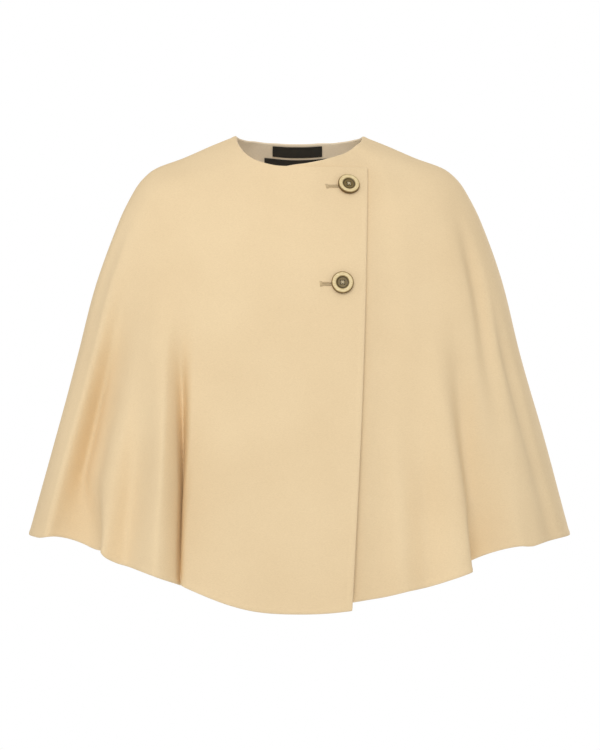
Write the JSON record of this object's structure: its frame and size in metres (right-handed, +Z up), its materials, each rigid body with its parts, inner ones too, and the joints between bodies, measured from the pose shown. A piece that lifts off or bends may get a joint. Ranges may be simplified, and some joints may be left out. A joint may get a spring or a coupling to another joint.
{
  "type": "wool cape",
  "caption": "Short collarless wool cape, held open in its worn A-line form, with a wrapped asymmetric front fastened by large buttons.",
  "frame": {"origin": "midway between the two side neck points, where the cape sits on the wearer's shoulders", "axes": "+X towards the wearer's left, -Y out of the front, +Z up"},
  "size_m": [0.702, 0.3874, 0.6053],
  "materials": {
    "wool": "smooth napped double-faced wool, pale camel",
    "horn": "horn-look button, cream rim and brown sunk middle",
    "ribbon": "plain black woven ribbon"
  },
  "bodies": {
    "root": {"right_front": "wool", "left_front": "wool", "back": "wool", "button_upper": "horn", "button_lower": "horn", "label_upper": "ribbon", "label_lower": "ribbon"}
  },
  "joints": []
}
